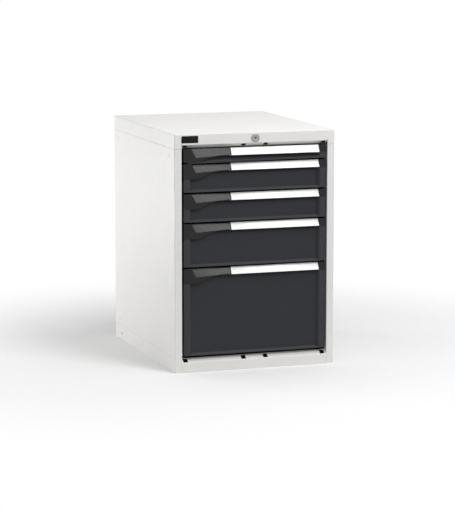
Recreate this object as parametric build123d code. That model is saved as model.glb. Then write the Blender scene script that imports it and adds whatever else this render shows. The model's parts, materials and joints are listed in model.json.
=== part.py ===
from build123d import *
from math import atan2, cos, degrees, hypot, radians, sin
import os

# A steel cabinet with five drawers on ball slides and one central lock.
# Millimetres. X runs to the right, Y to the back and Z up.
# The origin is on the floor, at the middle of the base. The fronts face -Y.

# Driving sizes of the cabinet
WIDTH = 564.0
DEPTH = 725.0
DRAWER_STEP = 50.0
DRAWER_STEPS = (1, 2, 2, 3, 6)  # heights of the drawers' spaces, from the top drawer down
STACK_BASE = 53.5  # from the floor to the lowest drawer's space
CROWN = 46.5  # from the highest drawer's space to the top
CASING_SHEET = 1.2
CASING_BEND = 2.2  # outer radius of the casing's bends
BEVEL_BEND = 1.8  # outer radius of the cover's and the sill's inner folds
CUT_PAST = 2.0  # how far a cutter passes the sheet that it pierces

# Front frame of the casing
STILE_WIDTH = 25.0
JAMB_DEPTH = 18.0
COVER_SKIRT = 48.0
COVER_BAND = 35.0  # height of the cover's front between the stiles
COVER_FOLD_LAP = 0.5  # how far the cover's inner fold reaches down into the highest space
CORNER_RELIEF_RADIUS = 1.2  # hole where three bends of the cover meet
FOLD_RELIEF = 2.0  # notch beside the end of each inner fold
SILL_FACE = 33.0
DRAWER_FOOTROOM = 6.0  # from the sill's inner fold to the lowest drawer's space
INNER_LEDGE = 8.0  # level strip behind each bevel
INNER_LIP = 8.0
SEAM = 0.8  # visible joint under the cover
TONGUE_WIDTH = 35.0  # upright edge of a side that the cover slides over
TONGUE_LAP = 12.0
TONGUE_END_GAP = 22.0
REAR_FLANGE = 20.0
BASE_FLANGE = 20.0
PANEL_EASE = 1.0  # play at the edges of the panels that sit inside the bends

# Slots and holes in the casing
BEVEL_SLOT_WIDTH = 16.0
BEVEL_SLOT_LENGTH = 17.0
BEVEL_SLOT_FROM_CENTRE = 39.0
BEVEL_SLOT_FROM_JAMB = 13.0
SIDE_SLOT_WIDTH = 4.0
SIDE_SLOT_HEIGHT = 14.0
SIDE_SLOT_FROM_FRONT = 60.0
SIDE_SLOT_FROM_REAR = 55.0
SIDE_SLOT_FROM_BASE = 71.5
SIDE_SLOT_BELOW_SEAM = 26.0
JOINING_HOLE_RADIUS = 4.5
JOINING_HOLE_FROM_REAR = 81.0
JOINING_HOLE_FROM_BASE = 20.0

# Screws that hold the back panel and the cover
SCREW_RADIUS = 1.9
SCREW_HOLE_PLAY = 0.15
SCREW_HEAD_RADIUS = 3.8
SCREW_HEAD_HEIGHT = 1.9
SCREW_HEAD_ROUNDING = 0.95
SCREW_RECESS_DEPTH = 1.1
SCREW_LENGTH = 6.0
SCREW_RECESS_LENGTH = 2.2
SCREW_RECESS_WIDTH = 0.55
SCREW_FROM_SIDE = 10.0
SCREW_END_MARGIN = 75.0
SCREWS_PER_SIDE = 4
COVER_SCREWS = 3
COVER_SCREW_PITCH = 200.0
COVER_SCREW_DROP = 34.0
BACK_PANEL_LAP = 25.0  # how far the back panel reaches up inside the cover

# Uprights that carry the slides
POST_SHEET = 1.5
POST_BEND = 2.5
POST_DEPTH = 40.0
FRONT_POST_SETBACK = 27.0
REAR_POST_SETBACK = 35.0  # from the back of the casing to the rear upright
POST_FACE_FROM_SIDE = 25.5

# Ball slides
RAIL_LENGTH = 640.0
RAIL_HEIGHT = 30.0
SLIDE_THICKNESS = 20.0  # upright face to tray side
RAIL_SHEET = 1.5
RAIL_BEND = 2.0
RAIL_GAP = 2.0  # between the flanges of the fixed and the drawer's rail
MID_FLANGE_WIDTH = 15.0
RAIL_CENTRE_RISE = 19.5  # above the floor of a drawer's space
BALL_RADIUS = 2.15
BALL_PLAY = 0.1
BALL_TRACK_OFFSET = 4.5  # from the slide's middle plane to a row of balls
BALL_PITCH = 52.0
CAGE_STRIP_WIDTH = 6.0
CAGE_STRIP_SHEET = 0.8
CAGE_END_PLAY = 3.5
DRAWER_TRAVEL = 610.0

# Drawer fronts, pressed as shallow pans
FRONT_SIDE_GAP = 6.0
FRONT_LOWER_GAP = 2.5
FRONT_UPPER_GAP = 2.5
FRONT_SHEET = 1.2
FRONT_EDGE = 1.2  # rounding of the pan's front edges
FRONT_RETURN_DEPTH = 18.0
FRONT_FLANGE = 20.0
FRONT_RECESS = 12.0
SIDE_BEVEL_WIDTH = 10.0
FOOT_LEDGE = 1.6
FOOT_BEVEL_HEIGHT = 6.0
POCKET_DEPTH = 12.0  # finger room behind the panel's own recess
POCKET_END_MARGIN = 37.5  # from the front's side to the pocket's end
POCKET_ABOVE_FOOT = 15.0  # in the lowest of the fronts
POCKET_SLOPE_HEIGHT = 3.0

# Handle moulding along the top of each front
HANDLE_TOP_GAP = 0.5
HANDLE_WALL = 2.6
HANDLE_HOOK = 2.5
SLOPE_DROP = 25.0  # from the front's top to the foot of the sloping face
LIP_DROP = 27.0
BLOCK_DROP = 51.5  # to the left block's lower edge, where the front is high enough
BLOCK_FLAT_LENGTH = 38.0  # level stretch of the left block's lower edge
BLOCK_CURVE_LENGTH = 90.0
CURVE_START_PULL = 35.0
CURVE_END_PULL = 45.0
BLOCK_LENGTH = 160.5
FACET_TOP_START = 28.0  # from the front's left edge
FACET_FOOT_START = 44.0
FACET_FOOT_DROP_LEFT = 30.0
FACET_FOOT_DROP_RIGHT = 22.0
GROOVE_WIDTH = 5.0
GROOVE_DEPTH = 1.8
FACET_OVERCUT = 0.1  # share by which the facet's cutter passes the block's faces
LABEL_START = 168.0
LABEL_FROM_RIGHT = 22.5
LABEL_SHEET = 0.8
LABEL_END_MARGIN = 0.4
LABEL_EDGE_MARGIN = 0.35

# Drawer trays
TRAY_SHEET = 1.0
TRAY_DEPTH = 612.0
TRAY_TOP_GAP = 3.5
TRAY_HEM = 6.0

# Central lock
LOCK_DROP = 18.5  # from the top to the lock's centre
BEZEL_RADIUS = 14.5
BEZEL_THICKNESS = 2.6
BEZEL_CHAMFER = 0.9
HOUSING_RADIUS = 9.0
HOUSING_HOLE_PLAY = 0.2
HOUSING_LENGTH = 20.0
PLUG_RADIUS = 6.0
PLUG_PLAY = 0.06
PLUG_PROUD = 0.5
PLUG_ROUNDING = 0.4
KEYHOLE_LENGTH = 6.4
KEYHOLE_WIDTH = 1.6
KEYHOLE_CENTRE_RADIUS = 1.5
KEYHOLE_DEPTH = 12.0
NUT_ACROSS_FLATS = 24.0
NUT_THICKNESS = 4.0
SHAFT_RADIUS = 4.0
SHAFT_PLAY = 0.08
CRANK_RADIUS = 12.0
CRANK_THICKNESS = 3.0
CRANK_PIN_RADIUS = 2.0
BAR_TRAVEL = 12.0
LOCK_TURN = 90.0

# Lock bar behind the drawers
BAR_WIDTH = 20.0
BAR_SHEET = 3.0
BAR_SETBACK = 34.0  # from the back of the casing to the bar's rear face
BAR_HEAD_MARGIN = 4.0
BAR_SLOT_PLAY = 0.6
HOOK_WIDTH = 16.0
HOOK_REACH = 12.0
HOOK_SHEET = 3.0
HOOK_BRIDGE = 4.0
HOOK_PLAY = 0.75
TONGUE_SHEET = 1.5
LATCH_TONGUE_WIDTH = 24.0
LATCH_GAP = 1.0
CRANK_GAP = 2.0
GUIDE_WALL = 3.0
GUIDE_PLAY = 0.3
GUIDE_HEIGHT = 20.0
GUIDE_RISE = 30.0  # above the foot of a drawer
GUIDED_AT = (1, -1)  # the second and the last drawer
BRACKET_SIDE_GAP = 5.0
BRACKET_HEIGHT = 22.0
BRACKET_SHEET = 3.0

# Blank nameplate
PLATE_LENGTH = 58.0
PLATE_HEIGHT = 23.5
PLATE_THICKNESS = 1.0
PLATE_CORNER = 2.5
PLATE_FROM_SIDE = 24.0
PLATE_DROP = 5.5

# Places that follow from the sizes
HEIGHT = STACK_BASE + sum(DRAWER_STEPS) * DRAWER_STEP + CROWN
SIDE = WIDTH / 2
FRONT = -DEPTH / 2
BACK = DEPTH / 2
OPENING = SIDE - STILE_WIDTH
BAND_FOOT = HEIGHT - COVER_BAND
BEVEL_FOOT = HEIGHT - CROWN - COVER_FOLD_LAP
SILL_TOP = STACK_BASE - DRAWER_FOOTROOM
SKIRT_FOOT = HEIGHT - COVER_SKIRT
SIDE_TOP = SKIRT_FOOT - SEAM
TONGUE_FOOT = SIDE_TOP - TONGUE_LAP
PANEL_SIDE = SIDE - CASING_SHEET - PANEL_EASE
BACK_INNER = BACK - 2 * CASING_SHEET
FLOOR_TOP = 2 * CASING_SHEET
POST_FACE = SIDE - POST_FACE_FROM_SIDE
TRAY_SIDE = POST_FACE - SLIDE_THICKNESS
FRONT_SIDE = OPENING - FRONT_SIDE_GAP
POCKET_SIDE = FRONT_SIDE - POCKET_END_MARGIN
LOWEST_FRONT = min(DRAWER_STEPS) * DRAWER_STEP - FRONT_LOWER_GAP - FRONT_UPPER_GAP
LABEL_LENGTH = 2 * FRONT_SIDE - LABEL_START - LABEL_FROM_RIGHT
TRAY_FRONT = FRONT + FRONT_RECESS + POCKET_DEPTH + FRONT_SHEET
TRAY_REAR = TRAY_FRONT + TRAY_DEPTH
RAIL_FRONT = TRAY_FRONT + TRAY_SHEET
RAIL_REAR = RAIL_FRONT + RAIL_LENGTH
RAIL_FLANGE = (SLIDE_THICKNESS - RAIL_GAP) / 2
BALL_SPACE = 2 * (BALL_RADIUS + BALL_PLAY)
MID_HALF_HEIGHT = RAIL_HEIGHT / 2 - RAIL_SHEET - BALL_SPACE
CAGE_LENGTH = RAIL_LENGTH - DRAWER_TRAVEL / 2 - 2 * CAGE_END_PLAY
LOCK_Z = HEIGHT - LOCK_DROP
CRANK_ARM = BAR_TRAVEL / (2 * sin(radians(LOCK_TURN / 2)))
BAR_REAR = BACK - BAR_SETBACK
BAR_FRONT = BAR_REAR - BAR_SHEET
HOOK_FRONT = BAR_FRONT - HOOK_REACH
LATCH_LIP_FRONT = HOOK_FRONT + HOOK_SHEET + LATCH_GAP
CRANK_REAR = BAR_FRONT - CRANK_GAP

os.makedirs("parts", exist_ok=True)


def save(name, *solids):
    """Writes one node, made of one solid or of several separate ones."""
    shapes = [s for shape in solids for s in shape.solids()]
    export_step(shapes[0] if len(shapes) == 1 else Compound(shapes), f"parts/{name}.step")


def block(x0, x1, y0, y1, z0, z1):
    """A box between two corners."""
    centre = Pos((x0 + x1) / 2, (y0 + y1) / 2, (z0 + z1) / 2)
    return centre * Box(abs(x1 - x0), abs(y1 - y0), abs(z1 - z0))


def rod(radius, x, z, y0, y1):
    """A round bar along Y."""
    return Pos(x, (y0 + y1) / 2, z) * Rot(90, 0, 0) * Cylinder(radius, y1 - y0)


def along_x(face, x0, x1):
    """Extrudes a section drawn as (y, z)."""
    return Pos(x0, 0, 0) * extrude(Plane.YZ * face, x1 - x0)


def along_y(face, y0, y1):
    """Extrudes a section drawn as (x, z)."""
    return Pos(0, y1, 0) * Rot(90, 0, 0) * extrude(face, y1 - y0)


def outline(points):
    return make_face(Polyline(*points, close=True))


def bent_sheet(points, sheet, bend):
    """The section of a bent sheet. One face follows the points and the metal lies to its left."""
    ways = [(Vector(*b) - Vector(*a)).normalized() for a, b in zip(points, points[1:])]
    lefts = [Vector(-way.Y, way.X) for way in ways]
    inner = [Vector(*points[0]) + lefts[0] * sheet]
    near_radii = []
    far_radii = []
    for k in range(1, len(points) - 1):
        a, b = lefts[k - 1], lefts[k]
        inner.append(Vector(*points[k]) + (a + b) * (sheet / (1 + a.dot(b))))
        turns_left = ways[k - 1].cross(ways[k]).Z > 0
        near_radii.append(bend if turns_left else bend - sheet)
        far_radii.append(bend - sheet if turns_left else bend)
    inner.append(Vector(*points[-1]) + lefts[-1] * sheet)
    radii = [0, *near_radii, 0, 0, *far_radii[::-1], 0]
    corners = [Vector(*p) for p in points] + inner[::-1]
    return make_face(FilletPolyline(*corners, radius=radii, close=True))


def mirrored(shape):
    """The same piece on the cabinet's other side."""
    return mirror(shape, about=Plane.YZ)


def bevel_slots(y_front, z_front, z_rear):
    """Cutters for the four slots in a bevel that runs back from the front plane."""
    tilt = degrees(atan2(z_rear - z_front, JAMB_DEPTH))
    near, far = BEVEL_SLOT_FROM_CENTRE, OPENING - BEVEL_SLOT_FROM_JAMB
    place = Pos(0, y_front + JAMB_DEPTH / 2, (z_front + z_rear) / 2) * Rot(tilt, 0, 0)
    cutter = Box(BEVEL_SLOT_WIDTH, BEVEL_SLOT_LENGTH, 2 * (CASING_SHEET + CUT_PAST))
    return [place * Pos(x, 0, 0) * cutter for x in (-far, -near, near, far)]


# Casing
def side_panel():
    """The left side: wall, stile, jamb and flanges bent from one sheet."""
    rear_flange = [(-SIDE + REAR_FLANGE, BACK), (-SIDE, BACK)]
    stile_and_jamb = [(-SIDE, FRONT), (-OPENING, FRONT), (-OPENING, FRONT + JAMB_DEPTH)]
    inner = -SIDE + CASING_SHEET
    panel = extrude(bent_sheet(rear_flange + stile_and_jamb, CASING_SHEET, CASING_BEND), SIDE_TOP)
    base_ends = FRONT + JAMB_DEPTH + PANEL_EASE, BACK - CASING_BEND
    panel += block(inner - CASING_SHEET / 2, inner + BASE_FLANGE, *base_ends, 0, CASING_SHEET)
    tongue_ends = FRONT + TONGUE_END_GAP, BACK - TONGUE_END_GAP
    panel += block(inner, inner + CASING_SHEET, *tongue_ends, TONGUE_FOOT, TONGUE_FOOT + TONGUE_WIDTH)
    for y in (FRONT + SIDE_SLOT_FROM_FRONT, BACK - SIDE_SLOT_FROM_REAR):
        for z in (SIDE_SLOT_FROM_BASE, SIDE_TOP - SIDE_SLOT_BELOW_SEAM):
            slot = extrude(SlotOverall(SIDE_SLOT_HEIGHT, SIDE_SLOT_WIDTH), CASING_SHEET + CUT_PAST, both=True)
            panel -= Pos(-SIDE, y, z) * Rot(0, 90, 0) * slot
    hole = Rot(0, 90, 0) * Cylinder(JOINING_HOLE_RADIUS, 2 * (CASING_SHEET + CUT_PAST))
    panel -= Pos(-SIDE, BACK - JOINING_HOLE_FROM_REAR, JOINING_HOLE_FROM_BASE) * hole
    return panel


def screw_places():
    """The (x, z) of the screws that hold the back panel to the sides, then of the cover's."""
    step = (SIDE_TOP - 2 * SCREW_END_MARGIN) / (SCREWS_PER_SIDE - 1)
    edge = SIDE - SCREW_FROM_SIDE
    sides = [(x, SCREW_END_MARGIN + k * step) for x in (-edge, edge) for k in range(SCREWS_PER_SIDE)]
    middle = (COVER_SCREWS - 1) / 2
    drop = HEIGHT - COVER_SCREW_DROP
    return sides + [((k - middle) * COVER_SCREW_PITCH, drop) for k in range(COVER_SCREWS)]


def drill_for_screws(panel):
    radius = SCREW_RADIUS + SCREW_HOLE_PLAY
    for x, z in screw_places():
        panel -= rod(radius, x, z, BACK_INNER - CUT_PAST, BACK + CUT_PAST)
    return panel


def casing_screw(x, z):
    """A pan-head screw driven in from the back."""
    head = rod(SCREW_HEAD_RADIUS, x, z, BACK, BACK + SCREW_HEAD_HEIGHT)
    head = fillet(head.edges().group_by(Axis.Y)[-1], SCREW_HEAD_ROUNDING)
    cross = Box(SCREW_RECESS_LENGTH, 2 * SCREW_RECESS_DEPTH, SCREW_RECESS_WIDTH)
    for turn in (0, 90):
        head -= Pos(x, BACK + SCREW_HEAD_HEIGHT, z) * Rot(0, turn, 0) * cross
    return head + rod(SCREW_RADIUS, x, z, BACK - SCREW_LENGTH, BACK)


def top_cover():
    """The cover: top and skirts from one sheet, with a bevelled and slotted front edge."""
    shell = block(-SIDE, SIDE, FRONT, BACK, SKIRT_FOOT, HEIGHT)
    shell = fillet(shell.edges().filter_by(Axis.Z) + shell.edges().group_by(Axis.Z)[-1], CASING_BEND)
    inside = block(
        -SIDE + CASING_SHEET,
        SIDE - CASING_SHEET,
        FRONT + CASING_SHEET,
        BACK - CASING_SHEET,
        SKIRT_FOOT - SEAM,
        HEIGHT - CASING_SHEET,
    )
    corners = inside.edges().filter_by(Axis.Z) + inside.edges().group_by(Axis.Z)[-1]
    shell -= fillet(corners, CASING_BEND - CASING_SHEET)
    front_metal = FRONT - CUT_PAST, FRONT + CASING_SHEET + CUT_PAST
    shell -= block(-OPENING, OPENING, *front_metal, SKIRT_FOOT - SEAM, BAND_FOOT + SEAM)
    jamb = FRONT + JAMB_DEPTH
    ledge = jamb + INNER_LEDGE
    face = [(FRONT, BAND_FOOT + 2 * SEAM), (FRONT, BAND_FOOT), (jamb, BEVEL_FOOT)]
    fold = [(ledge, BEVEL_FOOT), (ledge, BEVEL_FOOT + INNER_LIP)]
    shell += along_x(bent_sheet(face + fold, CASING_SHEET, BEVEL_BEND), -OPENING, OPENING)
    for slot in bevel_slots(FRONT, BAND_FOOT, BEVEL_FOOT):
        shell -= slot
    for way in (-1, 1):
        notch = way * OPENING, way * (OPENING + FOLD_RELIEF)
        shell -= block(*notch, *front_metal, BAND_FOOT - FOLD_RELIEF, BAND_FOOT + FOLD_RELIEF)
        for y, lean in ((FRONT, -1), (BACK, 1)):
            corner = Plane(origin=(way * SIDE, y, HEIGHT), z_dir=(way, lean, 1))
            shell -= corner * Cylinder(CORNER_RELIEF_RADIUS, 2 * (CASING_BEND + CUT_PAST))
    return shell - rod(HOUSING_RADIUS + HOUSING_HOLE_PLAY, 0, LOCK_Z, *front_metal)


def front_sill():
    """The sill under the drawers, the counterpart of the cover's front edge."""
    jamb = FRONT + JAMB_DEPTH
    ledge = jamb + INNER_LEDGE
    fold = [(ledge, SILL_TOP - INNER_LIP), (ledge, SILL_TOP), (jamb, SILL_TOP)]
    face = [(FRONT, SILL_FACE), (FRONT, 0), (ledge, 0)]
    sill = along_x(bent_sheet(fold + face, CASING_SHEET, BEVEL_BEND), -OPENING, OPENING)
    for slot in bevel_slots(FRONT, SILL_FACE, SILL_TOP):
        sill -= slot
    return sill


def bottom_panel():
    """A floor sheet whose edges step up onto the flanges of the sides and the sill."""
    step_side = SIDE - CASING_SHEET - BASE_FLANGE - PANEL_EASE
    step_front = FRONT + JAMB_DEPTH + INNER_LEDGE + PANEL_EASE
    rear = BACK_INNER
    floor = block(-step_side, step_side, step_front, rear, 0, CASING_SHEET)
    front = FRONT + JAMB_DEPTH + PANEL_EASE
    return floor + block(-PANEL_SIDE, PANEL_SIDE, front, rear, CASING_SHEET, FLOOR_TOP)


def back_panel():
    top = SKIRT_FOOT + BACK_PANEL_LAP
    panel = block(-PANEL_SIDE, PANEL_SIDE, BACK_INNER, BACK - CASING_SHEET, CASING_SHEET, top)
    return drill_for_screws(panel)


def upright(y_front):
    """One upright on the left side, a channel open to the front."""
    wall = -SIDE + CASING_SHEET
    y_rear = y_front + POST_DEPTH
    points = [(-POST_FACE, y_front), (-POST_FACE, y_rear), (wall, y_rear), (wall, y_front)]
    section = bent_sheet(points, POST_SHEET, POST_BEND)
    return Pos(0, 0, FLOOR_TOP) * extrude(section, TONGUE_FOOT - SEAM - FLOOR_TOP)


def nameplate():
    left = -SIDE + PLATE_FROM_SIDE
    top = HEIGHT - PLATE_DROP
    plate = block(left, left + PLATE_LENGTH, FRONT - PLATE_THICKNESS, FRONT, top - PLATE_HEIGHT, top)
    return fillet(plate.edges().filter_by(Axis.Y), PLATE_CORNER)


side_left = drill_for_screws(side_panel())
posts = [upright(FRONT + FRONT_POST_SETBACK), upright(BACK - REAR_POST_SETBACK - POST_DEPTH)]
save("side_panel_left", side_left)
save("side_panel_right", mirrored(side_left))
save("back_panel", back_panel())
save("top_cover", drill_for_screws(top_cover()))
save("bottom_panel", bottom_panel())
save("front_sill", front_sill())
save("slide_uprights", *posts, *[mirrored(post) for post in posts])
save("casing_screws", *[casing_screw(x, z) for x, z in screw_places()])
save("nameplate", nameplate())


# Ball slides, drawn for the left side and mirrored
def slide_x(reach):
    """The X of a point at this distance from the left upright's face."""
    return -POST_FACE + reach


def channel_rail(web, flange_end, z):
    """A channel rail with its web at one distance and its flanges ending at another."""
    half = RAIL_HEIGHT / 2
    a, b = slide_x(web), slide_x(flange_end)
    points = [(b, z + half), (a, z + half), (a, z - half), (b, z - half)]
    if web > flange_end:
        points.reverse()
    return along_y(bent_sheet(points, RAIL_SHEET, RAIL_BEND), RAIL_FRONT, RAIL_REAR)


def middle_rail(z):
    """The I-shaped rail between the other two."""
    mid = slide_x(SLIDE_THICKNESS / 2)
    low, high = z - MID_HALF_HEIGHT, z + MID_HALF_HEIGHT
    rail = block(mid - RAIL_SHEET / 2, mid + RAIL_SHEET / 2, RAIL_FRONT, RAIL_REAR, low, high)
    x0, x1 = mid - MID_FLANGE_WIDTH / 2, mid + MID_FLANGE_WIDTH / 2
    rail += block(x0, x1, RAIL_FRONT, RAIL_REAR, low, low + RAIL_SHEET)
    return rail + block(x0, x1, RAIL_FRONT, RAIL_REAR, high - RAIL_SHEET, high)


def ball_cages(offset, z):
    """Two perforated strips with their loose balls, above and below the middle rail."""
    x = slide_x(SLIDE_THICKNESS / 2 + offset)
    middle = (RAIL_FRONT + RAIL_REAR) / 2
    count = int((CAGE_LENGTH - 2 * BALL_RADIUS) // BALL_PITCH) + 1
    places = [middle + (k - (count - 1) / 2) * BALL_PITCH for k in range(count)]
    solids = []
    for way in (-1, 1):
        row = z + way * (MID_HALF_HEIGHT + BALL_SPACE / 2)
        strip = Pos(x, middle, row) * Box(CAGE_STRIP_WIDTH, CAGE_LENGTH, CAGE_STRIP_SHEET)
        for y in places:
            strip -= Pos(x, y, row) * Cylinder(BALL_RADIUS + BALL_PLAY, 3 * CAGE_STRIP_SHEET)
            solids.append(Pos(x, y, row) * Sphere(BALL_RADIUS))
        solids.append(strip)
    return solids


def save_pair(name, *left):
    save(name, *left, *[mirrored(solid) for solid in left])


# Drawer fronts
def growth(run, depth):
    """How far a sloping wall moves sideways for each millimetre of its sheet."""
    return hypot(run, depth) / depth


def dish(foot, top, grown):
    """The hollow of the pan, or with its sheet round it: a block with sloping sides and foot."""
    depth = FRONT_RECESS + grown
    side_grown = grown * growth(SIDE_BEVEL_WIDTH, FRONT_RECESS)
    foot_grown = grown * growth(FOOT_BEVEL_HEIGHT, FRONT_RECESS)
    mouth_side = FRONT_SIDE - FRONT_FLANGE + side_grown
    floor_side = mouth_side - SIDE_BEVEL_WIDTH * depth / FRONT_RECESS
    mouth_foot = foot + FOOT_LEDGE - foot_grown
    floor_foot = mouth_foot + FOOT_BEVEL_HEIGHT * depth / FRONT_RECESS

    def rectangle(half, y, low):
        corners = [(-half, y, low), (half, y, low), (half, y, top), (-half, y, top)]
        return Polyline(*corners, close=True).wire()

    mouth = rectangle(mouth_side, FRONT, mouth_foot)
    return Solid.make_loft([mouth, rectangle(floor_side, FRONT + depth, floor_foot)], ruled=True)


def pocket(top, edge, grown):
    """The deeper hollow for the fingers behind the handle, or with its sheet round it."""
    shift = grown * growth(POCKET_SLOPE_HEIGHT, POCKET_DEPTH)
    start = FRONT + FRONT_RECESS
    rear = start + POCKET_DEPTH + grown
    foot = top - LOWEST_FRONT + POCKET_ABOVE_FOOT - shift
    rise = POCKET_SLOPE_HEIGHT * (POCKET_DEPTH + grown) / POCKET_DEPTH
    section = outline([(start, foot), (rear, foot + rise), (rear, edge), (start, edge)])
    half = POCKET_SIDE + grown
    return along_x(section, -half, half)


def drawer_front(foot, top):
    """The pressed pan: flange, sloping sides, panel, finger pocket and returned edges."""
    edge = top - HANDLE_TOP_GAP - HANDLE_HOOK
    rear = FRONT + FRONT_RETURN_DEPTH
    pan = block(-FRONT_SIDE, FRONT_SIDE, FRONT, rear, foot, edge)
    front_foot = pan.edges().filter_by(Axis.X).group_by(Axis.Z)[0].group_by(Axis.Y)[0]
    pan = fillet(pan.edges().filter_by(Axis.Z).group_by(Axis.Y)[0] + front_foot, FRONT_EDGE)
    inner = FRONT_SIDE - FRONT_SHEET
    pan -= block(-inner, inner, FRONT + FRONT_SHEET, rear + FRONT_SHEET, foot + FRONT_SHEET, top)
    pan += dish(foot, edge, FRONT_SHEET)
    pan += pocket(top, edge, FRONT_SHEET)
    pan -= dish(foot, top, 0)
    pan -= pocket(top, top, 0)
    # room for the ends of the handle in front of the panel
    pan -= left_block(foot, top)
    clear = FRONT_SIDE - FRONT_FLANGE - SIDE_BEVEL_WIDTH - FRONT_SHEET
    panel = FRONT + FRONT_RECESS
    return pan - block(clear, FRONT_SIDE + FRONT_SHEET, FRONT - FRONT_SHEET, panel, top - LIP_DROP, top)


def handle_section(top):
    """The sloping grip with its lip and the hook that lies on the front's top edge."""
    high = top - HANDLE_TOP_GAP
    slope_foot = top - SLOPE_DROP
    lip = top - LIP_DROP
    crest = FRONT + FRONT_RECESS
    rear = TRAY_FRONT
    run = FRONT_RECESS / (high - slope_foot)
    inner_foot = FRONT + HANDLE_WALL
    inner_high = high - HANDLE_HOOK
    inner_crest = inner_foot + run * (inner_high - slope_foot)
    outside = [(FRONT, lip), (FRONT, slope_foot), (crest, high), (rear, high)]
    inside = [(rear, inner_high), (inner_crest, inner_high), (inner_foot, slope_foot), (inner_foot, lip)]
    return outline(outside + inside)


def left_block(foot, top):
    """The solid end of the handle, whose lower edge rises to the grip in an S-shaped curve."""
    left = -FRONT_SIDE
    high, low, lip = top - HANDLE_TOP_GAP, max(top - BLOCK_DROP, foot), top - LIP_DROP
    curve_start = left + BLOCK_FLAT_LENGTH
    curve_end = curve_start + BLOCK_CURVE_LENGTH
    right = left + BLOCK_LENGTH
    start_pull = curve_start + CURVE_START_PULL
    end_pull = curve_end - CURVE_END_PULL
    corners = [(curve_end, lip), (right, lip), (right, high), (left, high), (left, low), (curve_start, low)]
    rise = Bezier((curve_start, low), (start_pull, low), (end_pull, lip), (curve_end, lip))
    return along_y(make_face([Polyline(*corners), rise]), FRONT, FRONT + FRONT_RECESS)


def facet_cutter(top):
    """What is cut from the left block to leave its sloping facet, slightly twisted along its length."""
    left = -FRONT_SIDE
    high = top - HANDLE_TOP_GAP
    beyond = FACET_OVERCUT

    def end(foot_x, foot_drop, crest_x):
        drop = foot_drop - HANDLE_TOP_GAP
        over_y, over_z, over_x = FRONT_RECESS * beyond, drop * beyond, (foot_x - crest_x) * beyond
        crest = (crest_x - over_x, FRONT + FRONT_RECESS + over_y, high + over_z)
        foot = (foot_x + over_x, FRONT - over_y, high - drop - over_z)
        corner = (crest_x - over_x, FRONT - over_y, high + over_z)
        return Polyline(crest, foot, corner, close=True).wire()

    start = end(left + FACET_FOOT_START, FACET_FOOT_DROP_LEFT, left + FACET_TOP_START)
    right = left + BLOCK_LENGTH + GROOVE_WIDTH * beyond
    finish = end(right, FACET_FOOT_DROP_RIGHT, right)
    return Solid.make_loft([start, finish], ruled=True)


def on_slope(top, x0, x1, depth, lift, margin):
    """A slab that lies in the handle's sloping face, between two places along it."""
    high = top - HANDLE_TOP_GAP
    drop = SLOPE_DROP - HANDLE_TOP_GAP
    length = hypot(drop, FRONT_RECESS)
    out = (-drop / length, FRONT_RECESS / length)
    down = (-FRONT_RECESS / length, -drop / length)
    corners = []
    for along, away in ((margin, lift), (length - margin, lift), (length - margin, -depth), (margin, -depth)):
        y = FRONT + FRONT_RECESS + down[0] * along + out[0] * away
        corners.append((y, high + down[1] * along + out[1] * away))
    return along_x(outline(corners), x0, x1)


def drawer_handle(foot, top):
    left, right = -FRONT_SIDE, FRONT_SIDE
    handle = along_x(handle_section(top), left, right)
    under_hook = top - HANDLE_TOP_GAP - HANDLE_HOOK
    for end, pocket_end in ((left, -POCKET_SIDE), (right, POCKET_SIDE)):
        handle -= block(end, pocket_end, FRONT + FRONT_RECESS, TRAY_FRONT, top - LIP_DROP, under_hook)
    handle += left_block(foot, top)
    cap = right - FRONT_FLANGE
    handle += block(cap, right, FRONT, FRONT + FRONT_RECESS, top - LIP_DROP, top - HANDLE_TOP_GAP)
    handle -= facet_cutter(top)
    groove = left + BLOCK_LENGTH
    handle -= on_slope(top, groove, groove + GROOVE_WIDTH, GROOVE_DEPTH, HANDLE_WALL, 0)
    label = left + LABEL_START
    seat_end = label + LABEL_LENGTH + LABEL_END_MARGIN
    handle -= on_slope(top, groove + GROOVE_WIDTH, seat_end, LABEL_SHEET, HANDLE_WALL, 0)
    return handle


def label_strip(top):
    """The white strip for labels, flush in its seat on the handle."""
    left = -FRONT_SIDE + LABEL_START
    return on_slope(top, left, left + LABEL_LENGTH, LABEL_SHEET, 0, LABEL_EDGE_MARGIN)


def drawer_tray(foot, top):
    """The folded tray with hemmed sides, and the tongue that the lock bar catches behind it."""
    low, high = foot, top - TRAY_TOP_GAP
    tray = block(-TRAY_SIDE, TRAY_SIDE, TRAY_FRONT, TRAY_REAR, low, high)
    inner, mouth = TRAY_SIDE - TRAY_SHEET, TRAY_SIDE - TRAY_HEM
    ends = TRAY_FRONT + TRAY_SHEET, TRAY_REAR - TRAY_SHEET
    tray -= block(-inner, inner, *ends, low + TRAY_SHEET, high - TRAY_SHEET)
    tray -= block(-mouth, mouth, *ends, high - 2 * TRAY_SHEET, high + TRAY_SHEET)
    half = LATCH_TONGUE_WIDTH / 2
    tongue = high - TONGUE_SHEET
    lip_rear = LATCH_LIP_FRONT + TONGUE_SHEET
    tray += block(-half, half, TRAY_REAR - TRAY_SHEET / 2, lip_rear, tongue, high)
    tray += block(-half, half, LATCH_LIP_FRONT, lip_rear, tongue - BAR_TRAVEL, high)
    return tray


def latch_hook(top):
    """The hook on the lock bar that rises in front of a drawer's latch lip."""
    half = HOOK_WIDTH / 2
    lip_foot = top - TRAY_TOP_GAP - TONGUE_SHEET - BAR_TRAVEL
    tip = lip_foot - HOOK_PLAY
    bridge = tip - BAR_TRAVEL
    hook = block(-half, half, HOOK_FRONT, BAR_FRONT, bridge - HOOK_BRIDGE, bridge)
    return hook + block(-half, half, HOOK_FRONT, HOOK_FRONT + HOOK_SHEET, bridge - HOOK_BRIDGE, tip)


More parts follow.
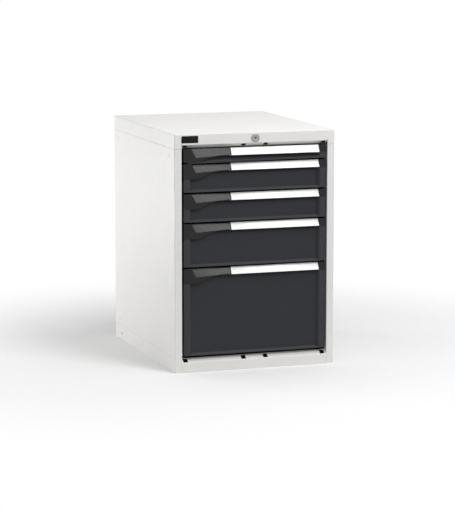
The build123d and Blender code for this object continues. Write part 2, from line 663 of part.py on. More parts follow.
# Central lock
def lock_housing():
    body = rod(HOUSING_RADIUS, 0, LOCK_Z, FRONT, FRONT + HOUSING_LENGTH)
    bezel = rod(BEZEL_RADIUS, 0, LOCK_Z, FRONT - BEZEL_THICKNESS, FRONT)
    bezel = chamfer(bezel.edges().group_by(Axis.Y)[0], BEZEL_CHAMFER)
    bore = rod(PLUG_RADIUS + PLUG_PLAY, 0, LOCK_Z, FRONT - 2 * BEZEL_THICKNESS, FRONT + 2 * HOUSING_LENGTH)
    return body + bezel - bore


def lock_plug():
    face = FRONT - BEZEL_THICKNESS - PLUG_PROUD
    plug = rod(PLUG_RADIUS, 0, LOCK_Z, face, FRONT + HOUSING_LENGTH)
    plug = fillet(plug.edges().group_by(Axis.Y)[0], PLUG_ROUNDING)
    ends = face - PLUG_PROUD, face + KEYHOLE_DEPTH
    low, high = LOCK_Z - KEYHOLE_WIDTH / 2, LOCK_Z + KEYHOLE_WIDTH / 2
    plug -= block(-KEYHOLE_LENGTH / 2, KEYHOLE_LENGTH / 2, *ends, low, high)
    return plug - rod(KEYHOLE_CENTRE_RADIUS, 0, LOCK_Z, *ends)


def lock_nut():
    hexagon = RegularPolygon(NUT_ACROSS_FLATS / 2, 6, major_radius=False)
    front = FRONT + CASING_SHEET
    nut = Pos(0, 0, LOCK_Z) * along_y(hexagon, front, front + NUT_THICKNESS)
    return nut - rod(HOUSING_RADIUS + PLUG_PLAY, 0, LOCK_Z, FRONT, FRONT + HOUSING_LENGTH)


def lock_shaft():
    """The rod from the plug to the back, with its crank and the pin that lifts the bar."""
    shaft = rod(SHAFT_RADIUS, 0, LOCK_Z, FRONT + HOUSING_LENGTH, CRANK_REAR - CRANK_THICKNESS)
    shaft += rod(CRANK_RADIUS, 0, LOCK_Z, CRANK_REAR - CRANK_THICKNESS, CRANK_REAR)
    pin_x, pin_z = crank_pin(-LOCK_TURN / 2)
    return shaft + rod(CRANK_PIN_RADIUS, pin_x, pin_z, CRANK_REAR, BAR_REAR + CRANK_GAP)


def crank_pin(angle):
    """Where the crank's pin stands, at an angle above the level through the shaft."""
    return -CRANK_ARM * cos(radians(angle)), LOCK_Z + CRANK_ARM * sin(radians(angle))


def lock_bar(low, tops):
    """The upright bar with a hook for each drawer and a slot for the crank's pin."""
    pin_x, pin_z = crank_pin(-LOCK_TURN / 2)
    play = CRANK_PIN_RADIUS + BAR_SLOT_PLAY
    slot_end = -CRANK_ARM - play
    head_top = pin_z + play + BAR_HEAD_MARGIN
    head_foot = pin_z - play - BAR_HEAD_MARGIN
    half = BAR_WIDTH / 2
    bar = block(-half, half, BAR_FRONT, BAR_REAR, low, head_top)
    bar += block(slot_end - BAR_HEAD_MARGIN, half, BAR_FRONT, BAR_REAR, head_foot, head_top)
    bar -= block(slot_end, pin_x + play, CRANK_REAR, BAR_REAR + CRANK_GAP, pin_z - play, pin_z + play)
    for top in tops:
        bar += latch_hook(top)
    return bar


def bar_guide(z):
    """A guide on the back panel that the bar slides in."""
    half = BAR_WIDTH / 2 + GUIDE_PLAY
    outer = half + GUIDE_WALL
    front = BAR_FRONT - GUIDE_PLAY
    rear = BAR_REAR + GUIDE_PLAY
    low, high = z - GUIDE_HEIGHT / 2, z + GUIDE_HEIGHT / 2
    guide = block(-outer, outer, front - GUIDE_WALL, BACK_INNER, low, high)
    ends = low - GUIDE_PLAY, high + GUIDE_PLAY
    guide -= block(-half, half, front, rear, *ends)
    return guide - block(-half, half, rear + GUIDE_WALL, BACK_INNER - GUIDE_WALL, *ends)


def shaft_bracket():
    """The bracket from the back panel that carries the rear end of the lock's shaft."""
    leg = BAR_WIDTH / 2 + BRACKET_SIDE_GAP
    rear = CRANK_REAR - CRANK_THICKNESS - GUIDE_PLAY
    front = rear - BRACKET_SHEET
    low, high = LOCK_Z - BRACKET_HEIGHT / 2, LOCK_Z + BRACKET_HEIGHT / 2
    bracket = block(leg, leg + BRACKET_SHEET, front, BACK_INNER, low, high)
    bracket += block(-SHAFT_RADIUS - BRACKET_SIDE_GAP, leg + BRACKET_SHEET, front, rear, low, high)
    return bracket - rod(SHAFT_RADIUS + SHAFT_PLAY, 0, LOCK_Z, front - GUIDE_PLAY, rear + GUIDE_PLAY)


feet = []
tops = []
space_top = HEIGHT - CROWN
for number, steps in enumerate(DRAWER_STEPS, 1):
    space_foot = space_top - steps * DRAWER_STEP
    foot, top = space_foot + FRONT_LOWER_GAP, space_top - FRONT_UPPER_GAP
    rail_z = space_foot + RAIL_CENTRE_RISE
    save(f"drawer_tray_{number}", drawer_tray(foot, top))
    save(f"drawer_front_{number}", drawer_front(foot, top))
    save(f"drawer_handle_{number}", drawer_handle(foot, top))
    save(f"label_strip_{number}", label_strip(top))
    save_pair(f"cabinet_rails_{number}", channel_rail(0, RAIL_FLANGE, rail_z))
    save_pair(f"mid_rails_{number}", middle_rail(rail_z))
    save_pair(f"drawer_rails_{number}", channel_rail(SLIDE_THICKNESS, SLIDE_THICKNESS - RAIL_FLANGE, rail_z))
    save_pair(f"outer_ball_cages_{number}", *ball_cages(-BALL_TRACK_OFFSET, rail_z))
    save_pair(f"inner_ball_cages_{number}", *ball_cages(BALL_TRACK_OFFSET, rail_z))
    feet.append(foot)
    tops.append(top)
    space_top = space_foot

guides = [bar_guide(feet[k] + GUIDE_RISE) for k in GUIDED_AT]
save("lock_housing", lock_housing())
save("lock_plug", lock_plug())
save("lock_nut", lock_nut())
save("lock_shaft", lock_shaft())
save("lock_bar", lock_bar(min(feet), tops))
save("lock_bar_guides", *guides, shaft_bracket())
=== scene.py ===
import json
from math import pi, radians

import bmesh
import bpy
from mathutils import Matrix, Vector


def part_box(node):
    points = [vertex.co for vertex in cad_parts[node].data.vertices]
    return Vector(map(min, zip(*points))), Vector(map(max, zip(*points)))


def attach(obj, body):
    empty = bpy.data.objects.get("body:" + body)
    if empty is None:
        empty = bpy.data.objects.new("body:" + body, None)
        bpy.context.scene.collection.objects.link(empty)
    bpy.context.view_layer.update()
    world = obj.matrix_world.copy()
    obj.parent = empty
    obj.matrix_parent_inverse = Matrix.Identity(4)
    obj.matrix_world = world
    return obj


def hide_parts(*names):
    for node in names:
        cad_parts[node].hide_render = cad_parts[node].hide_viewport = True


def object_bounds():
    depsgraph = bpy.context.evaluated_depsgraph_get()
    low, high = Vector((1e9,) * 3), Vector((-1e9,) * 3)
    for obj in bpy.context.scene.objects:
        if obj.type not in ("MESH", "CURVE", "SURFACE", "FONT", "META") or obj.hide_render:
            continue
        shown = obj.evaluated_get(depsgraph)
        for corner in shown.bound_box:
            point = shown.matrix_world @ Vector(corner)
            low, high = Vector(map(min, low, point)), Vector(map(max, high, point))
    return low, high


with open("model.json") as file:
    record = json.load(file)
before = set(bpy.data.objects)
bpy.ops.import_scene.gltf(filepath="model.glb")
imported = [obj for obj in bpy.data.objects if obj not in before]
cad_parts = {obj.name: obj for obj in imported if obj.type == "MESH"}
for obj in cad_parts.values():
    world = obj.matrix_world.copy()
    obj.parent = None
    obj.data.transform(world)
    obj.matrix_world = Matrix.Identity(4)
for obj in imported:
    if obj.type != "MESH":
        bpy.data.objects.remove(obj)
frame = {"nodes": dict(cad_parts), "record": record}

# A steel drawer cabinet in soft studio light.
# Metres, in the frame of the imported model: X to the right, Y to the back, Z up, fronts facing -Y.

CAD_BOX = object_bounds()
NODES = frame["nodes"]
SLOT_OF = {part["node"]: part["material_slot"] for part in frame["record"]["subparts"]}
BODIES = frame["record"]["behaviour"]["bodies"]
BODY_OF = {node: body for body, members in BODIES.items() for node in members}
DRAWERS = range(1, 6)
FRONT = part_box("front_sill")[0].y
LOCK_HEIGHT = sum(corner.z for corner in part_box("lock_plug")) / 2

# Inside of the cover's and the sill's folds, where shade is painted
FOLD_SIDE = 0.2572
FOLD_START = 0.0182
FOLD_END = 0.050
FOLD_DROP = 0.003

# Painted shade of a faint crease along the sides
WALL_CREASE = 0.0500
WALL_CREASE_HALF = 0.0006
WALL_SKIN = 0.2815  # the sides' outer faces lie beyond this

# Pressed drawer fronts
FRONT_SHEET = 0.0012
FRONT_FLANGE = 0.020
FRONT_RECESS = 0.012
FRONT_RETURN = 0.018
SIDE_BEVEL = 0.010
FOOT_LEDGE = 0.0016
FOOT_BEVEL = 0.006
POCKET_DEPTH = 0.012
POCKET_END_MARGIN = 0.0375
POCKET_DROP = 0.030
POCKET_SLOPE = 0.003
PAN_BELOW_TOP = 0.003  # the handle's hook lies over the pan's top edge
PAN_INSET = 0.0002  # behind the faces of the handle's ends
HANDLE_LAP = 0.0005  # how far the flanges reach up into the handle's ends
CORNER_DIGITS = 6  # corners that agree to a micrometre are one
SAME_PLACE = 1e-5
FLAT_FOLD = 8.0  # degrees: flatter folds stay as they are
OUTER_FOLD = 0.0016  # roundings of the pressing
SIDE_FOLD = 0.0016
LEDGE_FOLD = 0.0006
FLOOR_FOLD = 0.0025
FOLD_SEGMENTS = 4
PAN_SHARP = 40

# Handle mouldings
BLOCK_DROP = 0.0515
LIP_DROP = 0.027

# Rounded edges of the rigid pieces: the rounding and, in degrees, what counts as an edge
ROUNDING_SEGMENTS = 2
MOULD_ROUNDING = 0.0004
MOULD_SHARP = 14.0
PLATE_ROUNDING = 0.0003
FINE_ROUNDING = 0.0002
RIGID_SHARP = 30
WELD = 1e-6
COPLANAR = 0.3  # degrees

# Colours
CASING_LIGHT = (0.715, 0.708, 0.690)
CASING_DARK = (0.700, 0.693, 0.676)
# painted shade for the sides' crease
CREASE_SHADE = (0.52, 0.515, 0.50)
# painted shade: inside the slotted folds and in the keyhole
PAINTED_SHADE_DARK = (0.02, 0.02, 0.02)
TRAY_LIGHT = (0.030, 0.031, 0.036)
TRAY_DARK = (0.026, 0.027, 0.032)
FRONT_LIGHT = (0.041, 0.041, 0.046)
FRONT_DARK = (0.038, 0.038, 0.043)
# painted shade of the recess behind the front
FRONT_PAINTED_SHADE = (0.026, 0.027, 0.031)
# painted highlight on faces of the fronts that look up
FRONT_PAINTED_HIGHLIGHT = (0.044, 0.044, 0.049)
MOULD_LIGHT = (0.010, 0.010, 0.010)
MOULD_DARK = (0.008, 0.008, 0.008)
PAPER_LIGHT = (0.95, 0.95, 0.95)
PAPER_DARK = (0.93, 0.93, 0.93)
ZINC_LIGHT = (0.62, 0.63, 0.64)
ZINC_DARK = (0.55, 0.56, 0.57)
FIXING_LIGHT = (0.66, 0.66, 0.65)
FIXING_DARK = (0.58, 0.58, 0.57)
BALL_LIGHT = (0.72, 0.72, 0.72)
BALL_DARK = (0.62, 0.62, 0.62)
NICKEL_LIGHT = (0.35, 0.35, 0.345)
NICKEL_DARK = (0.29, 0.29, 0.285)
ENAMEL_LIGHT = (0.009, 0.009, 0.009)
ENAMEL_DARK = (0.006, 0.006, 0.006)
FLOOR_GREY = (0.78, 0.78, 0.78)
WHITE = (1, 1, 1)

# Shading
EVEN = (1, 1, 1)  # a pattern that isn't stretched
ACROSS_Y = (1, 0, 1)  # leaves out the depth
NOISE_RANGE = (0.3, 0.7)  # few values of a noise lie outside
PAINT_PATCHES = 0.04  # how far the paint's roughness goes up and down
RECESS_SHADE_RANGE = (0.002, 0.011)  # behind the front: where the painted shade of the recess sets in
UPWARD_HIGHLIGHT_RANGE = (0.3, 0.85)  # the upward part of a normal: where the painted highlight sets in
KEYHOLE_RANGE = (0.0024, 0.0036)  # off the lock's axis: where the keyhole's painted shade ends

# Camera, at the photograph's viewing angle
CAMERA_PLACE = (-2.49658, -7.49600, 1.56008)
CAMERA_PITCH = 0.15445
CAMERA_YAW = 0.32438
CAMERA_LENS = 160.411
CAMERA_REACH = 100
SENSOR = 36.0

# Studio
FLOOR_RADIUS = 1.6
FLOOR_SOLID = 0.3  # share of the radius that isn't faded out
FLOOR_SEGMENTS = 96
FLOOR_LIFT = 0.06
ROOM_LIGHT = 0.42

# Softboxes: place, point they face, width and height, and watts
LAMPS = {
    "overhead": ((0.2, -0.9, 3.1), (0, -0.3, 0.4), (2.4, 2.0), 34),
    "key": ((1.2, -2.9, 2.9), (0, -0.36, 0.4), (1.5, 1.5), 79),
    "left_rear": ((-1.8, 1.7, 0.4), (-0.28, 0.36, 0.2), (1.2, 0.7), 30),
}


# Shader nodes
class Nodes:
    """A node tree with short calls for adding to it."""

    def __init__(self, tree):
        self.tree = tree

    def node(self, kind, **settings):
        node = self.tree.nodes.new(kind)
        for name, value in settings.items():
            setattr(node, name, value)
        return node

    def link(self, source, target):
        self.tree.links.new(source, target)

    def math(self, operation, first, *others):
        """Works on an output, with numbers or outputs as what else the operation takes."""
        maths = self.node("ShaderNodeMath", operation=operation)
        self.link(first, maths.inputs[0])
        for socket, other in zip(maths.inputs[1:], others):
            if isinstance(other, float):
                socket.default_value = other
            else:
                self.link(other, socket)
        return maths.outputs[0]

    def axes(self, vector):
        """The outputs X, Y and Z of a vector."""
        split = self.node("ShaderNodeSeparateXYZ")
        self.link(vector, split.inputs["Vector"])
        return split.outputs

    def seen_directly(self):
        """1 for what the camera sees, directly, in gloss or through glass, and 0 for light on surfaces."""
        path = self.node("ShaderNodeLightPath")
        seen = path.outputs["Is Camera Ray"]
        for way in ("Is Glossy Ray", "Is Transmission Ray"):
            seen = self.math("MAXIMUM", seen, path.outputs[way])
        return seen


class Material(Nodes):
    """A principled material with the procedural patterns used here."""

    def __init__(self, name, roughness, metallic=0.0, specular=0.5):
        self.material = bpy.data.materials.new(name)
        self.material.use_nodes = True
        super().__init__(self.material.node_tree)
        self.shader = next(n for n in self.tree.nodes if n.type == "BSDF_PRINCIPLED")
        self.shader.inputs["Roughness"].default_value = roughness
        self.shader.inputs["Metallic"].default_value = metallic
        self.shader.inputs["Specular IOR Level"].default_value = specular
        self.normal = None

    def place(self, stretch=EVEN):
        """The piece's own coordinates, in metres."""
        mapping = self.node("ShaderNodeMapping")
        mapping.inputs["Scale"].default_value = stretch
        self.link(self.node("ShaderNodeTexCoord").outputs["Object"], mapping.inputs["Vector"])
        return mapping.outputs["Vector"]

    def noise(self, size, detail=2, stretch=EVEN):
        """A noise whose features are about this size, in metres."""
        noise = self.node("ShaderNodeTexNoise")
        noise.inputs["Scale"].default_value = 1 / size
        noise.inputs["Detail"].default_value = detail
        self.link(self.place(stretch), noise.inputs["Vector"])
        return noise.outputs[0]

    def cells(self, size):
        """Small cells, each with a value of its own."""
        cells = self.node("ShaderNodeTexVoronoi")
        cells.inputs["Scale"].default_value = 1 / size
        self.link(self.place(), cells.inputs["Vector"])
        return cells.outputs["Color"]

    def spread(self, source, low, high, source_range=NOISE_RANGE):
        """Maps the source's range to the one from low to high."""
        spread = self.node("ShaderNodeMapRange")
        spread.inputs["From Min"].default_value = source_range[0]
        spread.inputs["From Max"].default_value = source_range[1]
        spread.inputs["To Min"].default_value = low
        spread.inputs["To Max"].default_value = high
        self.link(source, spread.inputs["Value"])
        return spread.outputs["Result"]

    def blend(self, share, first, second):
        """Mixes two colours, each a colour or an output, by an output that runs from 0 to 1."""
        mix = self.node("ShaderNodeMix", data_type="RGBA")
        self.link(share, mix.inputs["Factor"])
        for socket, colour in ((mix.inputs[6], first), (mix.inputs[7], second)):
            if isinstance(colour, tuple):
                socket.default_value = (*colour, 1)
            else:
                self.link(colour, socket)
        return mix.outputs[2]

    def colour(self, source):
        self.link(source, self.shader.inputs["Base Color"])

    def coat(self):
        """The output that gives the colour so far."""
        return self.shader.inputs["Base Color"].links[0].from_socket

    def cloudy(self, dark, light, size):
        """A colour that changes in faint clouds."""
        self.colour(self.blend(self.spread(self.noise(size), 0, 1), dark, light))

    def patchy(self, low, high, size, detail=3, stretch=EVEN):
        """A roughness that changes in patches."""
        patches = self.spread(self.noise(size, detail, stretch), low, high)
        self.link(patches, self.shader.inputs["Roughness"])

    def bump(self, height, depth):
        """Adds relief, with the given depth in metres, on top of what is there."""
        bump = self.node("ShaderNodeBump")
        bump.inputs["Distance"].default_value = depth
        bump.inputs["Strength"].default_value = 1
        self.link(height, bump.inputs["Height"])
        if self.normal:
            self.link(self.normal, bump.inputs["Normal"])
        self.normal = bump.outputs["Normal"]
        self.link(self.normal, self.shader.inputs["Normal"])


# Materials
def powder_coat(name, light, dark, roughness, specular):
    """Oven-dried powder paint: faint clouds of tone and a fine orange peel."""
    paint = Material(name, roughness, specular=specular)
    paint.cloudy(dark, light, size=0.11)
    paint.patchy(roughness - PAINT_PATCHES, roughness + PAINT_PATCHES, size=0.03)
    paint.bump(paint.noise(0.0022), depth=0.00006)
    paint.bump(paint.noise(0.0006), depth=0.00001)
    return paint


def casing_coat(name):
    return powder_coat(name, CASING_LIGHT, CASING_DARK, roughness=0.46, specular=0.4)


def wall_paint():
    """The casing's paint on the sides, with painted shade along the faint crease that runs above their
    foot.
    """
    paint = casing_coat("wall_paint")
    axes = paint.axes(paint.place())
    crease = paint.math("COMPARE", axes["Z"], WALL_CREASE, WALL_CREASE_HALF)
    skin = paint.math("GREATER_THAN", paint.math("ABSOLUTE", axes["X"]), WALL_SKIN)
    painted_crease_shade = paint.math("MULTIPLY", crease, skin)
    # paints the crease's shade as a thin dark band
    paint.colour(paint.blend(painted_crease_shade, paint.coat(), CREASE_SHADE))
    return paint.material


def fold_shade_paint():
    """The casing's paint on the slotted edges, with painted shade inside their folds, behind the slots."""
    paint = casing_coat("fold_shade_paint")
    axes = paint.axes(paint.place())
    fold_shade = paint.math("GREATER_THAN", axes["X"], -FOLD_SIDE)
    limits = (("X", "LESS_THAN", FOLD_SIDE),
              ("Y", "GREATER_THAN", FRONT + FOLD_START), ("Y", "LESS_THAN", FRONT + FOLD_END),
              ("Z", "LESS_THAN", CAD_BOX[1][2] - FOLD_DROP))
    for axis, test, limit in limits:
        fold_shade = paint.math("MULTIPLY", fold_shade, paint.math(test, axes[axis], limit))
    # paints shade inside the folds, where the slots look in
    paint.colour(paint.blend(fold_shade, paint.coat(), PAINTED_SHADE_DARK))
    return paint.material


def tray_paint():
    return powder_coat("tray_paint", TRAY_LIGHT, TRAY_DARK, roughness=0.5, specular=0.3).material


def front_paint():
    """Anthracite powder paint, with painted shade down in the pressing and a painted highlight on faces
    that look up.
    """
    paint = powder_coat("front_paint", FRONT_LIGHT, FRONT_DARK, roughness=0.55, specular=0.15)
    depth = paint.axes(paint.place())["Y"]
    # painted shade, darker the further back the sheet lies in the recess
    pressed = paint.spread(depth, 0, 1, [FRONT + start for start in RECESS_SHADE_RANGE])
    sheet = paint.blend(pressed, paint.coat(), FRONT_PAINTED_SHADE)
    # painted highlight, paler the more a face looks up
    upward = paint.axes(paint.node("ShaderNodeNewGeometry").outputs["Normal"])["Z"]
    painted_highlight = paint.spread(upward, 0, 1, UPWARD_HIGHLIGHT_RANGE)
    paint.colour(paint.blend(painted_highlight, sheet, FRONT_PAINTED_HIGHLIGHT))
    return paint.material


def handle_plastic():
    """A fine-grained black moulding."""
    plastic = Material("handle_plastic", roughness=0.36, specular=0.26)
    plastic.cloudy(MOULD_DARK, MOULD_LIGHT, size=0.02)
    plastic.patchy(0.33, 0.40, size=0.006)
    plastic.bump(plastic.noise(0.0004, detail=3), depth=0.00003)
    return plastic.material


def label_white():
    """A bare white paper strip behind a clear film."""
    paper = Material("label_white", roughness=0.35)
    fibres = paper.noise(0.0015, detail=4, stretch=(0.4, 1, 1))
    paper.colour(paper.blend(paper.spread(fibres, 0, 1), PAPER_DARK, PAPER_LIGHT))
    paper.shader.inputs["Coat Weight"].default_value = 0.6
    paper.shader.inputs["Coat Roughness"].default_value = 0.12
    paper.bump(fibres, depth=0.00002)
    return paper.material


def zinc_plate(name, light, dark, roughness):
    """Zinc-plated sheet: small blotches of tone and faint rolling marks along the rails."""
    zinc = Material(name, roughness, metallic=1.0)
    zinc.colour(zinc.blend(zinc.cells(0.006), dark, light))
    zinc.patchy(roughness - 0.06, roughness + 0.08, size=0.004)
    zinc.bump(zinc.noise(0.0005, detail=3, stretch=(1, 0.03, 1)), depth=0.00002)
    return zinc.material


def ball_steel():
    """Polished balls in their pressed strips, with fine scratches."""
    steel = Material("ball_steel", roughness=0.12, metallic=1.0)
    steel.colour(steel.blend(steel.noise(0.004), BALL_DARK, BALL_LIGHT))
    steel.patchy(0.09, 0.2, size=0.001, detail=4, stretch=(1, 0.1, 1))
    return steel.material


def lock_nickel():
    """Satin nickel, with painted shade in the keyhole round the lock's axis."""
    nickel = Material("lock_nickel", roughness=0.34, metallic=1.0)
    satin = nickel.blend(nickel.noise(0.003), NICKEL_DARK, NICKEL_LIGHT)
    off_axis = nickel.node("ShaderNodeVectorMath", operation="DISTANCE")
    off_axis.inputs[1].default_value = (0, 0, LOCK_HEIGHT)
    nickel.link(nickel.place(ACROSS_Y), off_axis.inputs[0])
    away = nickel.spread(off_axis.outputs["Value"], 0, 1, KEYHOLE_RANGE)
    # paints the keyhole's shade as a dark disc on the axis
    nickel.colour(nickel.blend(away, PAINTED_SHADE_DARK, satin))
    nickel.patchy(0.28, 0.42, size=0.0008)
    nickel.bump(nickel.noise(0.0003), depth=0.00001)
    return nickel.material


def plate_black():
    """The blank plate: black enamel, slightly uneven."""
    plate = Material("plate_black", roughness=0.36, specular=0.12)
    plate.cloudy(ENAMEL_DARK, ENAMEL_LIGHT, size=0.01)
    plate.patchy(0.32, 0.42, size=0.003)
    plate.bump(plate.noise(0.001, detail=3), depth=0.00002)
    return plate.material


MATERIALS = {
    "front_paint": front_paint(),
    "casing_paint": casing_coat("casing_paint").material,
    "drawer_paint": tray_paint(),
    "handle_plastic": handle_plastic(),
    "label_white": label_white(),
    "slide_steel": zinc_plate("slide_steel", ZINC_LIGHT, ZINC_DARK, 0.34),
    "ball_steel": ball_steel(),
    "lock_nickel": lock_nickel(),
    "fixing_steel": zinc_plate("fixing_steel", FIXING_LIGHT, FIXING_DARK, 0.38),
    "plate_black": plate_black(),
}


def dress_nodes():
    """Gives every carried-over piece its finish."""
    slotted, walls = fold_shade_paint(), wall_paint()
    special = {"top_cover": slotted, "front_sill": slotted,
               "side_panel_left": walls, "side_panel_right": walls}
    for name, node in NODES.items():
        node.data.materials.clear()
        node.data.materials.append(special.get(name, MATERIALS[SLOT_OF[name]]))


# Pieces made here
def apply_modifiers(piece):
    """Turns a piece's modifiers into mesh."""
    graph = bpy.context.evaluated_depsgraph_get()
    mesh = bpy.data.meshes.new_from_object(piece.evaluated_get(graph))
    piece.modifiers.clear()
    piece.data = mesh


def smooth(piece, sharp):
    """Shades curved stretches smooth and keeps the edges from this angle on, in degrees."""
    for face in piece.data.polygons:
        face.use_smooth = True
    piece.data.set_sharp_from_angle(angle=radians(sharp))


def show(name, work, material):
    """A new piece from a working mesh."""
    mesh = bpy.data.meshes.new(name)
    work.verts.index_update()
    mesh.from_pydata([v.co[:] for v in work.verts], [], [[v.index for v in f.verts] for f in work.faces])
    work.free()
    mesh.materials.append(material)
    piece = bpy.data.objects.new(name, mesh)
    bpy.context.scene.collection.objects.link(piece)
    return piece


def stand_in(piece, node):
    """The piece takes a node's place and body."""
    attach(piece, BODY_OF[node])
    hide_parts(node)


def soften(node, rounding, sharp=RIGID_SHARP):
    """Replaces a rigid node by a copy whose sharp edges are slightly rounded."""
    work = bmesh.new()
    work.from_mesh(NODES[node].data)
    bmesh.ops.remove_doubles(work, verts=work.verts, dist=WELD)
    bmesh.ops.dissolve_limit(work, angle_limit=radians(COPLANAR), verts=work.verts, edges=work.edges)
    piece = show(node + "_soft", work, MATERIALS[SLOT_OF[node]])
    bevel = piece.modifiers.new("rounding", "BEVEL")
    bevel.width = rounding
    bevel.segments = ROUNDING_SEGMENTS
    bevel.limit_method = "ANGLE"
    bevel.angle_limit = radians(sharp)
    apply_modifiers(piece)
    smooth(piece, sharp)
    stand_in(piece, node)


class Pan:
    """The front surface of a pressed front as a cage of flat faces, open where the handle fills it."""

    def __init__(self, low, high):
        self.top = high.z + PAN_BELOW_TOP
        self.edge = high.z
        self.foot = low.z + PAN_INSET
        self.ledge = low.z + FOOT_LEDGE
        self.sill = self.ledge + FOOT_BEVEL
        self.pocket_foot = self.top - POCKET_DROP
        self.pocket_rise = self.pocket_foot + POCKET_SLOPE
        self.face = low.y + PAN_INSET
        self.panel = low.y + FRONT_RECESS
        self.pocket_wall = self.panel + POCKET_DEPTH
        self.back = low.y + FRONT_RETURN
        self.side = high.x - PAN_INSET
        self.mouth = high.x - FRONT_FLANGE
        self.floor = self.mouth - SIDE_BEVEL
        self.pocket = high.x - POCKET_END_MARGIN
        self.cage = bmesh.new()
        self.corners = {}
        self.add_end(-1, BLOCK_DROP)
        self.add_end(1, LIP_DROP)
        self.add_middle()
        self.turn_forward()

    def add(self, *points):
        """Adds a face, on the corners that are there already or on new ones."""
        keys = [tuple(round(value, CORNER_DIGITS) for value in point) for point in points]
        for key in keys:
            if key not in self.corners:
                self.corners[key] = self.cage.verts.new(key)
        self.cage.faces.new([self.corners[key] for key in keys])

    def add_end(self, way, drop):
        """The left end, where way is -1, or the right one, up to the handle that hangs this far down."""
        s, m, f, p = way * self.side, way * self.mouth, way * self.floor, way * self.pocket
        y0, y1, y2, back = self.face, self.panel, self.pocket_wall, self.back
        foot, ledge, sill, edge = self.foot, self.ledge, self.sill, self.edge
        pocket_foot = self.pocket_foot
        stop = self.top - drop + HANDLE_LAP
        if stop > ledge:
            self.add((s, back, foot), (s, y0, foot), (s, y0, stop), (s, y1, stop), (s, back, stop))
            self.add((s, y0, foot), (m, y0, ledge), (m, y0, stop), (s, y0, stop))
            self.add((m, y0, ledge), (f, y1, sill), (f, y1, stop), (m, y0, stop))
            self.add((s, y1, stop), (s, back, stop), (s, back, edge), (s, y1, edge))
            self.add((f, y1, sill), (p, y1, pocket_foot), (p, y1, edge), (f, y1, edge), (f, y1, stop))
        else:
            self.add((s, y1, foot), (s, back, foot), (s, back, edge), (s, y1, edge))
            self.add((f, y1, sill), (p, y1, pocket_foot), (p, y1, edge), (f, y1, edge))
        self.add((p, y1, pocket_foot), (p, y2, self.pocket_rise), (p, y2, edge), (p, y1, edge))

    def add_middle(self):
        """The faces that run from end to end, up to the back of the pocket, and the foot."""
        side, y0, y1, y2 = self.side, self.face, self.panel, self.pocket_wall
        rows = [(side, y0, self.foot), (self.mouth, y0, self.ledge), (self.floor, y1, self.sill),
                (self.pocket, y1, self.pocket_foot), (self.pocket, y2, self.pocket_rise),
                (self.pocket, y2, self.edge)]
        for (xa, ya, za), (xb, yb, zb) in zip(rows, rows[1:]):
            self.add((-xa, ya, za), (xa, ya, za), (xb, yb, zb), (-xb, yb, zb))
        ends = ((-side, self.back), (side, self.back), (side, y0), (-side, y0), (-side, y1))
        self.add(*((x, y, self.foot) for x, y in ends))

    def turn_forward(self):
        """Makes all faces look out to the front."""
        bmesh.ops.recalc_face_normals(self.cage, faces=self.cage.faces)
        if max(self.cage.faces, key=lambda f: f.calc_area()).normal.y > 0:
            bmesh.ops.reverse_faces(self.cage, faces=self.cage.faces)

    def fold_width(self, a, b):
        """How wide the rounding of the fold between two corners is."""
        def near(value, other):
            return abs(value - other) < SAME_PLACE

        if not (near(a.y, self.face) and near(b.y, self.face)):
            return FLOOR_FOLD
        if near(a.z, self.ledge) and near(b.z, self.ledge):
            return LEDGE_FOLD
        return SIDE_FOLD if near(abs(a.x), self.mouth) and near(abs(b.x), self.mouth) else OUTER_FOLD

    def fold_widths(self):
        """The width of each fold's rounding, by the places of its two corners."""
        widths = {}
        for edge in self.cage.edges:
            if len(edge.link_faces) == 2 and edge.calc_face_angle() > radians(FLAT_FOLD):
                a, b = (v.co for v in edge.verts)
                widths[frozenset((a[:], b[:]))] = self.fold_width(a, b)
        return widths


def round_folds(piece, widths):
    """Rounds each fold by its own width."""
    weights = piece.data.attributes.new("bevel_weight_edge", "FLOAT", "EDGE")
    for edge in piece.data.edges:
        ends = frozenset(piece.data.vertices[i].co[:] for i in edge.vertices)
        weights.data[edge.index].value = widths.get(ends, 0) / FLOOR_FOLD
    bevel = piece.modifiers.new("folds", "BEVEL")
    bevel.width = FLOOR_FOLD
    bevel.segments = FOLD_SEGMENTS
    bevel.limit_method = "WEIGHT"


def press_front(number):
    """Replaces a drawer's front by one of pressed sheet with rounded folds."""
    node = f"drawer_front_{number}"
    pan = Pan(*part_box(node))
    widths = pan.fold_widths()
    piece = show(node + "_pressed", pan.cage, MATERIALS["front_paint"])
    round_folds(piece, widths)
    sheet = piece.modifiers.new("sheet", "SOLIDIFY")
    sheet.thickness = FRONT_SHEET
    sheet.offset = -1
    sheet.use_even_offset = True
    apply_modifiers(piece)
    smooth(piece, PAN_SHARP)
    stand_in(piece, node)


# Studio
def make_camera():
    camera = bpy.data.cameras.new("camera")
    camera.lens = CAMERA_LENS
    camera.sensor_width = SENSOR
    camera.clip_end = CAMERA_REACH
    holder = bpy.data.objects.new("camera", camera)
    holder.location = CAMERA_PLACE
    holder.rotation_euler = (pi / 2 - CAMERA_PITCH, 0, -CAMERA_YAW)
    bpy.context.scene.collection.objects.link(holder)
    bpy.context.scene.camera = holder


def make_lamp(name, place, target, size, power):
    lamp = bpy.data.lights.new(name, "AREA")
    lamp.shape = "RECTANGLE"
    lamp.size, lamp.size_y = size
    lamp.energy = power
    holder = bpy.data.objects.new(name, lamp)
    holder.location = place
    holder.rotation_euler = (Vector(target) - Vector(place)).to_track_quat("-Z", "Y").to_euler()
    bpy.context.scene.collection.objects.link(holder)


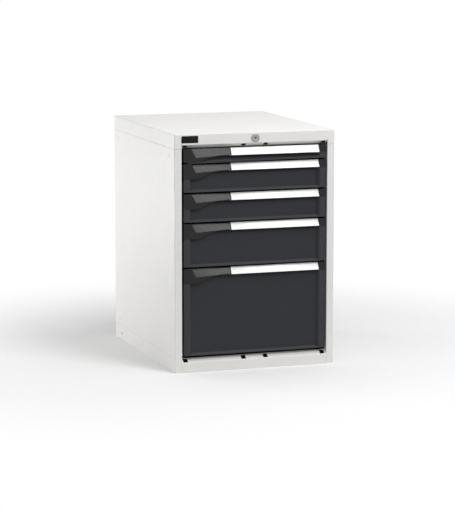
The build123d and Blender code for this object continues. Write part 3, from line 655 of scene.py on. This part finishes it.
def make_world():
    """A white room whose light on surfaces is dimmer than it looks."""
    world = bpy.data.worlds.new("room")
    bpy.context.scene.world = world
    world.use_nodes = True
    room = Nodes(world.node_tree)
    background = next(n for n in room.tree.nodes if n.type == "BACKGROUND")
    background.inputs["Color"].default_value = (*WHITE, 1)
    strength = room.node("ShaderNodeMapRange")
    strength.inputs["To Min"].default_value = ROOM_LIGHT
    strength.inputs["To Max"].default_value = 1.0
    room.link(room.seen_directly(), strength.inputs["Value"])
    room.link(strength.outputs["Result"], background.inputs["Strength"])


def floor_surface(ground):
    """Pale and matt, and a little lighter where it is looked at."""
    matte = ground.node("ShaderNodeBsdfDiffuse")
    matte.inputs["Color"].default_value = (*FLOOR_GREY, 1)
    glow = ground.node("ShaderNodeEmission")
    glow.inputs["Color"].default_value = (*WHITE, 1)
    ground.link(ground.math("MULTIPLY", ground.seen_directly(), FLOOR_LIFT), glow.inputs["Strength"])
    lit = ground.node("ShaderNodeAddShader")
    ground.link(matte.outputs[0], lit.inputs[0])
    ground.link(glow.outputs[0], lit.inputs[1])
    return lit.outputs[0]


def floor_fade(ground):
    """0 on the floor's solid middle, rising to 1 at its rim."""
    far = ground.node("ShaderNodeVectorMath", operation="LENGTH")
    ground.link(ground.node("ShaderNodeTexCoord").outputs["Object"], far.inputs[0])
    fade = ground.node("ShaderNodeMapRange", interpolation_type="SMOOTHSTEP")
    fade.inputs["From Min"].default_value = FLOOR_SOLID * FLOOR_RADIUS
    fade.inputs["From Max"].default_value = FLOOR_RADIUS
    ground.link(far.outputs["Value"], fade.inputs["Value"])
    return fade.outputs["Result"]


def floor_material():
    material = bpy.data.materials.new("studio_floor")
    material.use_nodes = True
    ground = Nodes(material.node_tree)
    ground.tree.nodes.clear()
    mix = ground.node("ShaderNodeMixShader")
    ground.link(floor_fade(ground), mix.inputs[0])
    ground.link(floor_surface(ground), mix.inputs[1])
    ground.link(ground.node("ShaderNodeBsdfTransparent").outputs[0], mix.inputs[2])
    ground.link(mix.outputs[0], ground.node("ShaderNodeOutputMaterial").inputs["Surface"])
    return material


def make_floor():
    """A pale floor that fades into the white room."""
    work = bmesh.new()
    bmesh.ops.create_circle(work, cap_ends=True, segments=FLOOR_SEGMENTS, radius=FLOOR_RADIUS)
    floor = show("studio_floor", work, floor_material())


dress_nodes()
for number in DRAWERS:
    press_front(number)
    soften(f"drawer_handle_{number}", MOULD_ROUNDING, MOULD_SHARP)
    soften(f"label_strip_{number}", FINE_ROUNDING)
soften("nameplate", PLATE_ROUNDING)
soften("lock_housing", FINE_ROUNDING)
soften("lock_plug", FINE_ROUNDING)
make_camera()
make_world()
make_floor()
for name, settings in LAMPS.items():
    make_lamp(name, *settings)
bpy.context.scene.view_settings.view_transform = "Standard"
